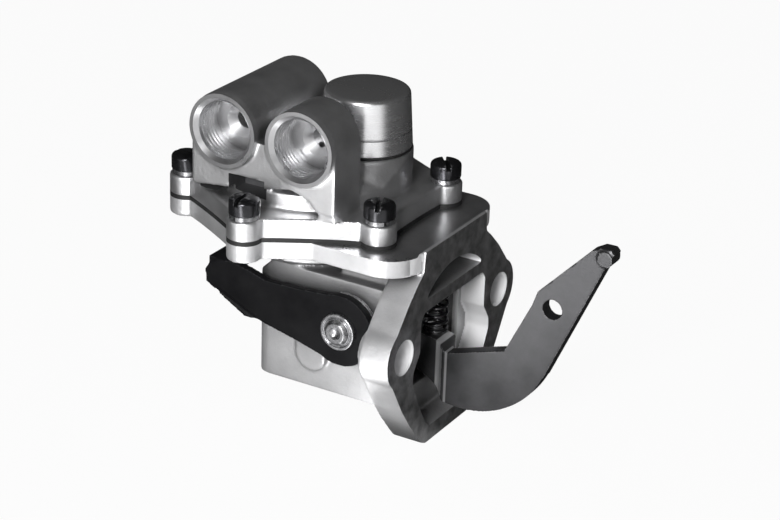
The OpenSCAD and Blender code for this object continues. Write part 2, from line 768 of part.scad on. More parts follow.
module shaft_seal() {
  color("black") placed() translate([prime_x, -box_half - 1.8, -prime_drop]) rotate([-90, 0, 0])
    tube(prime_r + 1.25, prime_r + 0.04, 1.3);
}

top_cover();
cover_screws();
spring_washers();
diaphragm();
lower_body();
filter_cap();
cap_gasket();
strainer();
valve_seats();
inlet_disc();
outlet_disc();
inlet_spring();
outlet_spring();
valve_cages();
upper_plate();
lower_plate();
diaphragm_rod();
rod_nut();
diaphragm_spring();
rod_seal();
seal_cup();
rocker_arm();
rocker_link();
rocker_pin();
pin_plugs();
arm_spring();
priming_shaft();
priming_lever();
lever_washer();
lever_spring();
shaft_seal();
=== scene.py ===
import json
import math
from itertools import product

import bmesh
import bpy
from mathutils import Matrix, Vector

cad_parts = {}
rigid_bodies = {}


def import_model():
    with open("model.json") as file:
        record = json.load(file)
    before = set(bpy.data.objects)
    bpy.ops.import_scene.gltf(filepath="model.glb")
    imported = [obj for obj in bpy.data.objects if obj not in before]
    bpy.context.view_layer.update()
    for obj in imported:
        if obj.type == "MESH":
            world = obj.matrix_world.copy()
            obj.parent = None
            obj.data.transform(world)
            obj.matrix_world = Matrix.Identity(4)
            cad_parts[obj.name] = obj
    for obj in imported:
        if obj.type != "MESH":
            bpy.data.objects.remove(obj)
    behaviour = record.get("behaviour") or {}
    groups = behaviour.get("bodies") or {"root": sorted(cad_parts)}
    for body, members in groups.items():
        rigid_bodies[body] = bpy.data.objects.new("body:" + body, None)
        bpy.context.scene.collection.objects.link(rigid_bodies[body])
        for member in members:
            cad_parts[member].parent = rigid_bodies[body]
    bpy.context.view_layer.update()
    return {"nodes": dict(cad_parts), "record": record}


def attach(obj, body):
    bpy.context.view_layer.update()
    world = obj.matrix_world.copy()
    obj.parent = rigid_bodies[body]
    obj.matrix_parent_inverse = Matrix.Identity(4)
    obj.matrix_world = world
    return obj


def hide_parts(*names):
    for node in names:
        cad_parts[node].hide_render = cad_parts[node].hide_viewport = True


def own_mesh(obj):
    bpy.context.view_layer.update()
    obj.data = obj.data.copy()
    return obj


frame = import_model()
cadNodes = frame["nodes"]
mm = 0.001
quarter = math.radians(90)
weldDistance = 2e-6
pumpAxis = Vector((-44, 0, 27)) * mm  # pump axis and diaphragm plane, from the flange bolt centre
scene = bpy.context.scene
scene.view_settings.view_transform = "Standard"
print("frame loaded:", len(cadNodes), "nodes")


cameraSetup = {
    "lens": 107.95,
    "distance": 0.636,
    "azimuth": 29.75,
    "elevation": 23.91,
    "roll": 2.03,
    "target": (-0.02242, 0.00407, 0.01114),
}


def makeCamera(c):
    a, e, r = (math.radians(c[k]) for k in ("azimuth", "elevation", "roll"))
    back = Vector((math.sin(a) * math.cos(e), -math.cos(a) * math.cos(e), math.sin(e)))
    right = Vector((math.cos(a), math.sin(a), 0))
    up = back.cross(right)
    rolledRight = right * math.cos(r) + up * math.sin(r)
    rolledUp = up * math.cos(r) - right * math.sin(r)
    turn = Matrix((rolledRight, rolledUp, back)).transposed().to_4x4()
    camera = bpy.data.objects.new("camera", bpy.data.cameras.new("camera"))
    camera.data.lens = c["lens"]
    camera.data.sensor_width = 36
    camera.data.clip_start = 0.05
    camera.data.clip_end = 20
    camera.matrix_world = Matrix.Translation(Vector(c["target"]) + back * c["distance"]) @ turn
    scene.collection.objects.link(camera)
    scene.camera = camera


makeCamera(cameraSetup)
print("camera placed")


def addNode(tree, kind, links=(), **values):
    # links are (socket name or number, output), values are node properties or socket defaults
    node = tree.nodes.new(kind)
    for key, value in values.items():
        if hasattr(node, key):
            setattr(node, key, value)
        else:
            node.inputs[key.replace("_", " ")].default_value = value
    for socket, source in links:
        tree.links.new(source, node.inputs[socket])
    return node


def linkObject(name, mesh):
    obj = bpy.data.objects.new(name, mesh)
    scene.collection.objects.link(obj)
    return obj


def objectFrom(name, bm):
    mesh = bpy.data.meshes.new(name)
    bm.to_mesh(mesh)
    bm.free()
    return linkObject(name, mesh)


def atPump(point):
    # a pump-frame point in millimetres, in the shared frame
    return Vector(point) * mm + pumpAxis


def plainMesh(obj):
    # works the live modifiers into the object's mesh
    graph = bpy.context.evaluated_depsgraph_get()
    graph.update()
    mesh = bpy.data.meshes.new_from_object(obj.evaluated_get(graph))
    obj.modifiers.clear()
    obj.data = mesh


def finishPiece(obj, body, slot, *replaced, smoothAngle=38):
    # puts a piece with its plain mesh on its body, in place of CAD nodes
    plainMesh(obj)
    obj.data.name = obj.name
    for face in obj.data.polygons:
        face.use_smooth = True
    markSharp(obj.data, smoothAngle)
    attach(obj, body)
    if replaced:
        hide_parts(*replaced)


def markSharp(mesh, degrees):
    bm = bmesh.new()
    bm.from_mesh(mesh)
    limit = math.radians(degrees)
    for edge in bm.edges:
        edge.smooth = len(edge.link_faces) == 2 and edge.calc_face_angle(0) < limit
    bm.to_mesh(mesh)
    bm.free()


def lathe(profile, steps=96):
    # closed ring from (radius, height) points in millimetres, turned about Z
    bm = bmesh.new()
    onAxis = 1e-6
    rings = []
    for radius, height in profile:
        if radius < onAxis:
            rings.append([bm.verts.new((0, 0, height * mm))])
        else:
            rings.append([bm.verts.new((radius * mm * math.cos(t), radius * mm * math.sin(t), height * mm))
                          for t in (2 * math.pi * i / steps for i in range(steps))])
    closed = profile[0][0] > onAxis and profile[-1][0] > onAxis
    pairs = list(zip(rings, rings[1:])) + ([(rings[-1], rings[0])] if closed else [])
    for low, high in pairs:
        for i in range(steps):
            j = (i + 1) % steps
            corners = [low[i % len(low)], low[j % len(low)], high[j % len(high)], high[i % len(high)]]
            kept = [v for k, v in enumerate(corners) if v not in corners[:k]]
            if len(kept) > 2:
                bm.faces.new(kept)
    bmesh.ops.recalc_face_normals(bm, faces=bm.faces)
    return bm


def roundProfile(points, radius, steps=4):
    # corners of an open (radius, height) outline, rounded; a corner may bring its own radius as a third number
    mostOfSide = 0.45
    out = [points[0][:2]]
    for before, here, after in zip(points, points[1:], points[2:]):
        r = here[2] if len(here) > 2 else radius
        p, a, b = Vector(here[:2]), Vector(before[:2]), Vector(after[:2])
        reach = min(r, (a - p).length * mostOfSide, (b - p).length * mostOfSide)
        start, end = p + (a - p).normalized() * reach, p + (b - p).normalized() * reach
        for k in range(steps + 1):
            t = k / steps
            q = start * (1 - t) ** 2 + p * 2 * t * (1 - t) + end * t * t
            out.append((q.x, q.y))
    return out + [points[-1][:2]]


def turnedSolid(bm, axis, centre, profile, steps=64):
    # closed solid turned about an axis through a pump-frame point, from (distance along the axis, radius) pairs
    turns = {"x": Matrix.Rotation(quarter, 3, "Y"), "y": Matrix.Rotation(-quarter, 3, "X"), "z": Matrix.Identity(3)}
    rings = []
    for along, radius in profile:
        rings.append([])
        for i in range(steps):
            t = 2 * math.pi * i / steps
            spot = turns[axis] @ Vector((radius * math.cos(t), radius * math.sin(t), along)) + Vector(centre)
            rings[-1].append(bm.verts.new(atPump(spot)))
    faces = [bm.faces.new(rings[0][::-1]), bm.faces.new(rings[-1])]
    for low, high in zip(rings, rings[1:]):
        for i in range(steps):
            j = (i + 1) % steps
            faces.append(bm.faces.new((low[i], low[j], high[j], high[i])))
    bmesh.ops.recalc_face_normals(bm, faces=faces)


def block(bm, low, high):
    # box between two pump-frame corners
    v = [bm.verts.new(atPump(corner)) for corner in product(*zip(low, high))]
    loops = ((0, 1, 3, 2), (4, 6, 7, 5), (0, 4, 5, 1), (2, 3, 7, 6), (0, 2, 6, 4), (1, 5, 7, 3))
    faces = [bm.faces.new([v[i] for i in loop]) for loop in loops]
    bmesh.ops.recalc_face_normals(bm, faces=faces)


def subtract(obj, name, bm, material=None):
    # takes a cutter off a piece; the new faces get the cutter's finish where it has one
    cutter = objectFrom(name, bm)
    cut = obj.modifiers.new(name, "BOOLEAN")
    cut.operation = "DIFFERENCE"
    cut.solver = "MANIFOLD"
    cut.object = cutter
    if material:
        cutter.data.materials.append(material)
        cut.material_mode = "TRANSFER"
    plainMesh(obj)
    bpy.data.objects.remove(cutter)


def cutAway(obj, name, material, *solids):
    # cuts turned solids and blocks off a piece
    bm = bmesh.new()
    for make, *how in solids:
        make(bm, *how)
    subtract(obj, name, bm, material)


def castSkin(name, s, material):
    # a node's skin with soft edges; machined faces are left thicker and bores are filled, to be cut afterwards
    atLimit = -0.02
    bm = bmesh.new()
    bm.from_mesh(cadNodes[s["node"]].data)
    bmesh.ops.remove_doubles(bm, verts=bm.verts, dist=weldDistance)
    for axis, sign, limit, extra, lowest in s["stock"]:
        for v in bm.verts:
            spot = (v.co - pumpAxis) / mm
            if sign * (spot[axis] - limit) > atLimit and spot.z > lowest:
                v.co[axis] += sign * extra * mm
    for make, *how in s["filled"]:
        make(bm, *how)
    obj = objectFrom(name, bm)
    obj.data.materials.clear()
    obj.data.materials.append(material)
    skin = obj.modifiers.new("even skin", "REMESH")
    skin.mode = "VOXEL"
    skin.voxel_size = s["grain"] * mm
    soft = obj.modifiers.new("soft edges", "SMOOTH")
    soft.factor = 0.5
    soft.iterations = s["softness"]
    plainMesh(obj)
    return obj


def emptyTree(name, sockets):
    # a Geometry Nodes group with named inputs, their identifiers by name and its input node
    tree = bpy.data.node_groups.new(name, "GeometryNodeTree")
    names = {}
    for label, kind in sockets.items():
        names[label] = tree.interface.new_socket(label, in_out="INPUT", socket_type=kind).identifier
    tree.interface.new_socket("Geometry", in_out="OUTPUT", socket_type="NodeSocketGeometry")
    return tree, names, addNode(tree, "NodeGroupInput")


def endTree(tree, source, given):
    # realises and gives the finish at the end of a tree
    real = addNode(tree, "GeometryNodeRealizeInstances", [(0, source)])
    dressed = addNode(tree, "GeometryNodeSetMaterial", [
        ("Geometry", real.outputs[0]), ("Material", given.outputs["Finish"])])
    addNode(tree, "NodeGroupOutput", [(0, dressed.outputs[0])])


def madeByNodes(name, tree, names, values):
    # runs a tree with its named inputs and keeps the plain mesh
    obj = linkObject(name, bpy.data.meshes.new(name))
    made = obj.modifiers.new(name, "NODES")
    made.node_group = tree
    for label, value in values.items():
        made[names[label]] = value
    plainMesh(obj)
    return obj


def calc(tree, operation, first, second=None):
    # one Math node; plain numbers go on its sockets
    node = addNode(tree, "ShaderNodeMath", operation=operation)
    for n, value in enumerate((first, second)):
        if isinstance(value, (int, float)):
            node.inputs[n].default_value = value
        elif value is not None:
            tree.links.new(value, node.inputs[n])
    return node.outputs[0]


def coilTree():
    # wire wound along Z from 0 to Height, its pitch closed up over the end turns
    tree, names, given = emptyTree("coil", {
        "Radius": "NodeSocketFloat", "Wire": "NodeSocketFloat", "Height": "NodeSocketFloat",
        "Turns": "NodeSocketFloat", "Closed Turns": "NodeSocketFloat", "Start": "NodeSocketFloat",
        "Steps": "NodeSocketInt", "Finish": "NodeSocketMaterial"})
    out = given.outputs
    radius, wire, turns, closed = (out[k] for k in ("Radius", "Wire", "Turns", "Closed Turns"))

    def m(operation, *values):
        return calc(tree, operation, *values)

    line = addNode(tree, "GeometryNodeCurvePrimitiveLine")
    many = addNode(tree, "GeometryNodeResampleCurve", [("Curve", line.outputs[0]), ("Count", out["Steps"])])
    along = addNode(tree, "GeometryNodeSplineParameter").outputs["Factor"]
    turned = m("MULTIPLY", along, turns)
    angle = m("ADD", m("MULTIPLY", turned, 2 * math.pi), out["Start"])
    bothEnds = m("MULTIPLY", closed, 2.0)
    rise = m("DIVIDE", m("SUBTRACT", turned, closed), m("SUBTRACT", turns, bothEnds))
    share = addNode(tree, "ShaderNodeClamp", [("Value", rise)])
    last = m("MAXIMUM", m("SUBTRACT", m("SUBTRACT", turned, turns), m("MULTIPLY", closed, -1.0)), 0.0)
    free = m("SUBTRACT", out["Height"], m("MULTIPLY", wire, m("ADD", bothEnds, 1.0)))
    low = m("MULTIPLY", m("MINIMUM", turned, closed), wire)
    high = m("MULTIPLY", last, wire)
    z = m("ADD", m("ADD", low, high), m("MULTIPLY", share.outputs[0], free))
    z = m("ADD", z, m("MULTIPLY", wire, 0.5))
    spot = addNode(tree, "ShaderNodeCombineXYZ", [
        ("X", m("MULTIPLY", m("COSINE", angle), radius)), ("Y", m("MULTIPLY", m("SINE", angle), radius)), ("Z", z)])
    wound = addNode(tree, "GeometryNodeSetPosition", [("Geometry", many.outputs[0]), ("Position", spot.outputs[0])])
    section = addNode(tree, "GeometryNodeCurvePrimitiveCircle", [("Radius", m("MULTIPLY", wire, 0.5))], Resolution=12)
    swept = addNode(tree, "GeometryNodeCurveToMesh", [
        ("Curve", wound.outputs[0]), ("Profile Curve", section.outputs[0])])
    swept.inputs["Fill Caps"].default_value = True
    endTree(tree, swept.outputs[0], given)
    return tree, names


def woundCoil(name, tree, names, c, place, steps, material):
    # one coil from its settings, moved to its place
    obj = madeByNodes(name, tree, names, {
        **{k: c[k] * mm for k in ("Radius", "Wire", "Height")}, **{k: c[k] for k in ("Turns", "Closed Turns", "Start")},
        "Steps": steps, "Finish": material})
    obj.data.transform(place)
    return obj


def ringTree():
    # one item set round a circle, each turned by a seeded amount
    tree, names, given = emptyTree("ringOfItems", {
        "Item": "NodeSocketObject", "Count": "NodeSocketInt", "Circle Radius": "NodeSocketFloat",
        "First Angle": "NodeSocketFloat", "Height": "NodeSocketFloat", "Turn Seed": "NodeSocketInt",
        "Finish": "NodeSocketMaterial"})
    out = given.outputs
    ring = addNode(tree, "GeometryNodeMeshCircle", [("Vertices", out["Count"]), ("Radius", out["Circle Radius"])])
    spun = addNode(tree, "ShaderNodeCombineXYZ", [("Z", out["First Angle"])])
    raised = addNode(tree, "ShaderNodeCombineXYZ", [("Z", out["Height"])])
    placed = addNode(tree, "GeometryNodeTransform", [
        ("Geometry", ring.outputs[0]), ("Rotation", spun.outputs[0]), ("Translation", raised.outputs[0])])
    item = addNode(tree, "GeometryNodeObjectInfo", [("Object", out["Item"])])
    turn = addNode(tree, "FunctionNodeRandomValue", [("Seed", out["Turn Seed"])], data_type="FLOAT_VECTOR")
    turn.inputs[0].default_value = (0, 0, 0)
    turn.inputs[1].default_value = (0, 0, 2 * math.pi)
    many = addNode(tree, "GeometryNodeInstanceOnPoints", [
        ("Points", placed.outputs[0]), ("Instance", item.outputs["Geometry"]), ("Rotation", turn.outputs[0])])
    endTree(tree, many.outputs[0], given)
    return tree, names


def mapRange(tree, value, span, result, kind="LINEAR"):
    node = addNode(tree, "ShaderNodeMapRange", [("Value", value)], interpolation_type=kind,
                   From_Min=span[0], From_Max=span[1], To_Min=result[0], To_Max=result[1])
    return node.outputs["Result"]


def mixColour(tree, share, base, colour):
    mix = addNode(tree, "ShaderNodeMix", [("Factor", share)], data_type="RGBA")
    tree.links.new(base, mix.inputs[6])
    mix.inputs[7].default_value = (*colour, 1)
    return mix.outputs[2]


finishRules = {
    "rampStops": (0.32, 0.68), "sheenSpan": (0.3, 0.7), "cornerSpan": (0.35, 0.85), "cornerShade": 0.12,
    "wearAndGlintSpan": (0.53, 0.6), "stripsWide": 10, "paintedHighlightColour": (0.8, 0.8, 0.81),
}


def finish(name, look):
    # one finish from its settings: mottled colour, roughness and grain on Object coordinates
    rules = finishRules
    material = bpy.data.materials.new(name)
    material.use_nodes = True
    tree = material.node_tree
    tree.nodes.clear()
    place = addNode(tree, "ShaderNodeTexCoord").outputs["Object"]
    if "stretch" in look:
        place = addNode(tree, "ShaderNodeMapping", [("Vector", place)], Scale=look["stretch"]).outputs["Vector"]
    mottle = addNode(tree, "ShaderNodeTexNoise", [("Vector", place)], Scale=look["mottleScale"], Detail=5.0,
                     Roughness=0.6)
    colour = addNode(tree, "ShaderNodeValToRGB", [("Fac", mottle.outputs["Fac"])])
    low, high = colour.color_ramp.elements
    low.position, high.position = rules["rampStops"]
    low.color, high.color = (*look["dark"], 1), (*look["light"], 1)
    sheen = mapRange(tree, mottle.outputs["Fac"], rules["sheenSpan"], look["rough"])
    grain = addNode(tree, "ShaderNodeTexNoise", [("Vector", place)], Scale=look["grainScale"], Detail=4.0,
                    Roughness=0.65)
    bump = addNode(tree, "ShaderNodeBump", [("Height", grain.outputs["Fac"])], Strength=look["grain"],
                   Distance=look["grainDepth"] * mm)
    shader = addNode(tree, "ShaderNodeBsdfPrincipled", [("Roughness", sheen), ("Normal", bump.outputs["Normal"])])
    shader.inputs["Metallic"].default_value = look["metallic"]
    shader.inputs["Specular IOR Level"].default_value = look.get("specular", 0.5)
    base = colour.outputs["Color"]
    if "paintedShade" in look:  # painted shade: darker in corners and under overhangs, from ambient occlusion
        corners = addNode(tree, "ShaderNodeAmbientOcclusion", Distance=look["paintedShadeReach"] * mm)
        corners.samples = 6
        shade = mapRange(tree, corners.outputs["AO"], rules["cornerSpan"], (look["paintedShade"], 0.0))
        base = mixColour(tree, shade, base, [c * rules["cornerShade"] for c in look["dark"]])
    if "edge" in look:  # brighter on sharp edges: partly rubbed wear, partly painted highlight where edges catch the light
        wearAndGlint = addNode(tree, "ShaderNodeNewGeometry")
        base = mixColour(tree, mapRange(tree, wearAndGlint.outputs["Pointiness"], rules["wearAndGlintSpan"], (0.0, 1.0)), base,
                         look["edge"])
    if "paintedHighlightStrips" in look:  # painted highlight strips where the crank's bend catches the light, each (from, to, fade, strength) in millimetres of Object x
        wide = rules["stripsWide"]
        across = addNode(tree, "ShaderNodeSeparateXYZ", [(0, place)])
        share = mapRange(tree, across.outputs["X"], (-wide / 2 * mm, wide / 2 * mm), (0.0, 1.0))
        strips = addNode(tree, "ShaderNodeValToRGB", [("Fac", share)])
        stops = strips.color_ramp.elements
        stops[0].position, stops[1].position = 0, 1
        stops[1].color = (0, 0, 0, 1)
        for first, last, fade, level in look["paintedHighlightStrips"]:
            for spot, value in ((first - fade, 0), (first, level), (last, level), (last + fade, 0)):
                stops.new(0.5 + spot / wide).color = (value, value, value, 1)
        base = mixColour(tree, strips.outputs["Color"], base, rules["paintedHighlightColour"])
    tree.links.new(base, shader.inputs["Base Color"])
    addNode(tree, "ShaderNodeOutputMaterial", [("Surface", shader.outputs["BSDF"])])
    return material


castAluminium = finish("castAluminium", {
    "dark": (0.62, 0.62, 0.63), "light": (0.8, 0.8, 0.81), "metallic": 0.9, "rough": (0.32, 0.46),
    "mottleScale": 55, "grainScale": 900, "grain": 0.35, "grainDepth": 0.25, "paintedShade": 0.7, "paintedShadeReach": 4.5})
# painted shade: a near-black cast finish for the relief cuts, standing in for the shade inside them
shadedCast = finish("shadedCast", {
    "dark": (0.05, 0.05, 0.052), "light": (0.1, 0.1, 0.105), "metallic": 0.4, "rough": (0.55, 0.7),
    "mottleScale": 90, "grainScale": 900, "grain": 0.3, "grainDepth": 0.2})
# painted shade reaching 14 mm darkens the bowl wall under the rim's overhang, where its shadow falls
castBody = finish("castBody", {
    "dark": (0.62, 0.62, 0.63), "light": (0.8, 0.8, 0.81), "metallic": 0.65, "rough": (0.36, 0.5),
    "mottleScale": 55, "grainScale": 900, "grain": 0.35, "grainDepth": 0.25, "paintedShade": 0.85, "paintedShadeReach": 14})
# painted light: a lighter, more diffuse copy of the cast finish for faces the light falls on inside the pocket and
# window
flangeCast = finish("flangeCast", {
    "dark": (0.86, 0.86, 0.87), "light": (0.95, 0.95, 0.96), "metallic": 0.15, "rough": (0.45, 0.55),
    "mottleScale": 70, "grainScale": 900, "grain": 0.35, "grainDepth": 0.25, "paintedShade": 0.25, "paintedShadeReach": 2})
# the flange's machined face: mottled grain, darkened as painted shade on the face turned away from the light
flangeFace = finish("flangeFace", {
    "dark": (0.3, 0.3, 0.305), "light": (0.68, 0.68, 0.69), "metallic": 0.9, "rough": (0.3, 0.4),
    "mottleScale": 260, "grainScale": 1200, "grain": 0.25, "grainDepth": 0.12, "paintedShade": 0.4, "paintedShadeReach": 2})
turnedAluminium = finish("turnedAluminium", {
    "dark": (0.84, 0.84, 0.85), "light": (0.92, 0.92, 0.93), "metallic": 0.92, "rough": (0.24, 0.3),
    "mottleScale": 40, "grainScale": 700, "grain": 0.06, "grainDepth": 0.06, "stretch": (1, 1, 9),
    "paintedShade": 0.3, "paintedShadeReach": 1.5})
machinedAluminium = finish("machinedAluminium", {
    "dark": (0.5, 0.5, 0.51), "light": (0.62, 0.62, 0.63), "metallic": 0.92, "rough": (0.26, 0.34),
    "mottleScale": 90, "grainScale": 1400, "grain": 0.12, "grainDepth": 0.08, "paintedShade": 0.6, "paintedShadeReach": 4})
# the lighter edge colour is partly rubbed wear, partly a painted highlight on the screw heads' rims
darkSteel = finish("darkSteel", {
    "dark": (0.022, 0.022, 0.024), "light": (0.06, 0.06, 0.065), "metallic": 0.8, "rough": (0.14, 0.24),
    "mottleScale": 160, "grainScale": 1500, "grain": 0.15, "grainDepth": 0.08, "edge": (0.3, 0.3, 0.31)})
washerSteel = finish("washerSteel", {
    "dark": (0.2, 0.2, 0.21), "light": (0.46, 0.46, 0.47), "metallic": 0.9, "rough": (0.2, 0.34),
    "mottleScale": 420, "grainScale": 1500, "grain": 0.15, "grainDepth": 0.1})
# painted highlights: lighter sharp edges (partly rubbed wear) and bright strips along the crank's bend
armSteel = finish("armSteel", {
    "dark": (0.065, 0.065, 0.068), "light": (0.1, 0.1, 0.104), "metallic": 0.75, "rough": (0.34, 0.48),
    "mottleScale": 110, "grainScale": 1100, "grain": 0.25, "grainDepth": 0.12, "edge": (0.5, 0.5, 0.51),
    "paintedHighlightStrips": ((-3.0, -1.5, 0.3, 1), (1.3, 1.8, 0.2, 0.5))})
brightSteel = finish("brightSteel", {
    "dark": (0.46, 0.46, 0.47), "light": (0.62, 0.62, 0.63), "metallic": 0.9, "rough": (0.22, 0.38),
    "mottleScale": 90, "grainScale": 1300, "grain": 0.15, "grainDepth": 0.1})
springSteel = finish("springSteel", {
    "dark": (0.38, 0.38, 0.39), "light": (0.52, 0.52, 0.53), "metallic": 0.95, "rough": (0.2, 0.32),
    "mottleScale": 200, "grainScale": 1500, "grain": 0.1, "grainDepth": 0.08})
# painted shade: a near-black copy of the spring steel for the coil that sits in the window's shade
oiledSpring = finish("oiledSpring", {
    "dark": (0.05, 0.05, 0.052), "light": (0.12, 0.12, 0.125), "metallic": 0.9, "rough": (0.16, 0.26),
    "mottleScale": 200, "grainScale": 1500, "grain": 0.1, "grainDepth": 0.08})
# the lighter edge colour paints glints on the lever's edges, with some rubbed wear
leverBlack = finish("leverBlack", {
    "dark": (0.007, 0.007, 0.008), "light": (0.014, 0.014, 0.015), "metallic": 0.0, "rough": (0.34, 0.46),
    "specular": 0.08,
    "mottleScale": 90, "grainScale": 1200, "grain": 0.25, "grainDepth": 0.12, "edge": (0.1, 0.1, 0.105)})
blackRubber = finish("blackRubber", {
    "dark": (0.008, 0.008, 0.008), "light": (0.022, 0.022, 0.022), "metallic": 0.0, "rough": (0.55, 0.75),
    "mottleScale": 120, "grainScale": 1500, "grain": 0.3, "grainDepth": 0.1})
pressedBrass = finish("pressedBrass", {
    "dark": (0.45, 0.31, 0.11), "light": (0.62, 0.45, 0.19), "metallic": 0.95, "rough": (0.25, 0.4),
    "mottleScale": 120, "grainScale": 1200, "grain": 0.15, "grainDepth": 0.1})
discPlastic = finish("discPlastic", {
    "dark": (0.16, 0.08, 0.04), "light": (0.24, 0.13, 0.07), "metallic": 0.0, "rough": (0.4, 0.55),
    "mottleScale": 200, "grainScale": 1500, "grain": 0.15, "grainDepth": 0.08})

slotFinishes = {"cast_aluminium": castAluminium, "cap_aluminium": turnedAluminium, "dark_steel": darkSteel,
                "arm_steel": armSteel, "bright_steel": brightSteel, "spring_steel": springSteel,
                "lever_steel": leverBlack, "rubber": blackRubber, "brass": pressedBrass,
                "disc_plastic": discPlastic, "mesh": pressedBrass}
for part in frame["record"]["subparts"]:
    node = cadNodes[part["node"]]
    node.data.materials.clear()
    node.data.materials.append(slotFinishes[part["material_slot"]])
print("finishes made:", len(slotFinishes))


cover = {
    "node": "top_cover", "grain": 0.42, "softness": 5,
    "stock": [(1, -1, -28.3, 0.7, 13), (2, -1, 0, 0.7, -9)],  # port rings, seat on the diaphragm
    "portHalf": 11.8, "portZ": 24.2, "ringY": -28.3, "plug": [(-29, 9.6), (-13.4, 8.8)],
    "mouthR": 9.1, "mouthDepth": 1.1, "boreR": 8, "boreEnd": -18.6,
    "drillEdgeR": 4.7, "drillR": 2.6, "drillDepth": 1.9, "inletEnd": -13.6, "outletEnd": 5,
    "dropY": -15.4, "dropR": 1.5, "dropLow": 12,
    "fills": [((16.8, -26.4, 5.25), (22.2, -14, 8.5)), ((-10.2, -26.95, 12.4), (1, -20, 14.5))],  # foot, relief
    "machined": [((-60, -60, 13.6), (60, -28.3, 60)), ((-60, -60, -9), (60, 60, 0))],
    "reliefs": [((-10.4, -30, 7.0), (0.8, -19, 12.5)), ((-22.5, -24.5, 5.25), (-14, -19, 6.9))],
}


def makeTopCover(s):
    half, z, face, end = (s[k] for k in ("portHalf", "portZ", "ringY", "boreEnd"))
    s["filled"] = [(turnedSolid, "y", (x, 0, z), s["plug"]) for x in (-half, half)]
    s["filled"] += [(block, low, high) for low, high in s["fills"]]
    obj = castSkin("coverCasting", s, castAluminium)
    cutAway(obj, "machinedFaces", machinedAluminium, *[(block, low, high) for low, high in s["machined"]])
    bore = [(face - 2, s["mouthR"]), (face, s["mouthR"]), (face + s["mouthDepth"], s["boreR"]), (end, s["boreR"]),
            (end + 0.02, s["drillEdgeR"]), (end + s["drillDepth"], s["drillR"])]
    for name, x, last in (("inletBore", half, s["inletEnd"]), ("outletBore", -half, s["outletEnd"])):
        cutAway(obj, name, machinedAluminium, (turnedSolid, "y", (x, 0, z), bore + [(last, s["drillR"])]))
    drop = [(s["dropLow"], s["dropR"]), (z, s["dropR"])]
    cutAway(obj, "inletDrop", machinedAluminium, (turnedSolid, "z", (half, s["dropY"], 0), drop))
    # the relief cuts over the front screw and under the left foot take the near-black painted-shade finish
    cutAway(obj, "blockRelief", shadedCast, *[(block, low, high) for low, high in s["reliefs"]])
    finishPiece(obj, "body", "cast_aluminium", "top_cover", smoothAngle=34)
    print("top cover:", len(obj.data.polygons), "faces")


lowerBody = {
    "node": "lower_body", "grain": 0.44, "softness": 5, "flangeFrom": 35.2, "windowZ": -30, "barZ": -17,
    "stock": [(0, 1, 44, 0.7, -90), (2, 1, -1.3, 0.7, -90)],  # flange face, seat of the diaphragm
    "filled": [(turnedSolid, "x", (0, y, -27), [(33, 5.4), (44.7, 5.4)]) for y in (-26, 26)],
    "boltHoles": [(turnedSolid, "x", (0, y, -27), [(30, 4.5), (43.5, 4.5), (44, 4.9), (46, 4.9)]) for y in (-26, 26)],
    "beyondFlange": ((44, -60, -70), (50, 60, 20)), "aboveSeat": ((-60, -60, -1.3), (43, 60, 9)),
    "floorFacing": 0.9, "wallFacing": -0.3,
}


def makeLowerBody(s):
    obj = castSkin("bodyCasting", s, castBody)
    # the flange face takes the darkened finish, painted shade
    cutAway(obj, "flangeFace", flangeFace, (block, *s["beyondFlange"]))
    cutAway(obj, "diaphragmSeat", machinedAluminium, (block, *s["aboveSeat"]))
    obj.data.materials.append(flangeCast)
    paintedLightSlot = obj.data.materials.find("flangeCast")
    for face in obj.data.polygons:  # painted light: the floor of the pocket and the walls of pocket and window that face inward and forward get the lighter finish
        spot = (face.center - pumpAxis) / mm
        inward = spot.y * face.normal.y + (spot.z - s["windowZ"]) * face.normal.z < 0
        floor = face.normal.x > s["floorFacing"] and spot.z > s["barZ"]
        wall = inward and face.normal.y < s["wallFacing"]
        if spot.x > s["flangeFrom"] and face.material_index == 0 and (floor or wall):
            face.material_index = paintedLightSlot
    # the bolt hole walls take the lighter painted-light finish too
    cutAway(obj, "boltHoles", flangeCast, *s["boltHoles"])
    finishPiece(obj, "body", "cast_aluminium", "lower_body", smoothAngle=34)
    print("lower body:", len(obj.data.polygons), "faces")


makeTopCover(cover)
makeLowerBody(lowerBody)


screw = {
    "radius": 4.25, "seat": 1.3, "head": 3.8, "crown": 0.9, "slotWidth": 1.3, "slotDepth": 1.9,
    "shank": 2.5, "tip": -10.9, "threads": 4, "pitch": 0.8, "threadDepth": 0.35, "worn": 0.14, "wornAngle": 50,
    "circle": 35, "count": 6, "firstAngle": 30, "rimTop": 5.2, "turnSeed": 11,
}
springWasher = {"outer": 4.05, "inner": 2.6, "thick": 1.3, "gap": 9, "rise": 0.1, "soft": 0.12, "steps": 56,
                "turnSeed": 4}


def screwItem(s):
    top, radius, shank = s["seat"] + s["head"], s["radius"], s["shank"]
    outline = [(0, s["tip"]), (shank - 0.5, s["tip"]), (shank, s["tip"] + 0.6)]
    for k in range(s["threads"]):  # last threads, seen from below
        z = s["tip"] + 1.0 + k * s["pitch"]
        outline += [(shank, z - 0.15), (shank - s["threadDepth"], z + 0.05), (shank, z + 0.25)]
    head = roundProfile([(radius - 0.15, s["seat"]), (radius, s["seat"] + 0.2), (radius, top),
                         (radius * 0.62, top + s["crown"] * 0.85), (0, top + s["crown"])], 0.7, 5)
    obj = objectFrom("screwItem", lathe(outline + [(shank, s["seat"])] + head, 64))
    deep = top + s["crown"] - s["slotDepth"]
    bm = bmesh.new()
    block(bm, (-9, -s["slotWidth"] / 2, deep), (9, s["slotWidth"] / 2, 20))
    bmesh.ops.translate(bm, verts=bm.verts, vec=-pumpAxis)
    subtract(obj, "slotCutter", bm)
    edge = obj.modifiers.new("worn edges", "BEVEL")
    edge.width = s["worn"] * mm
    edge.segments = 2
    edge.limit_method = "ANGLE"
    edge.angle_limit = math.radians(s["wornAngle"])
    plainMesh(obj)
    return obj


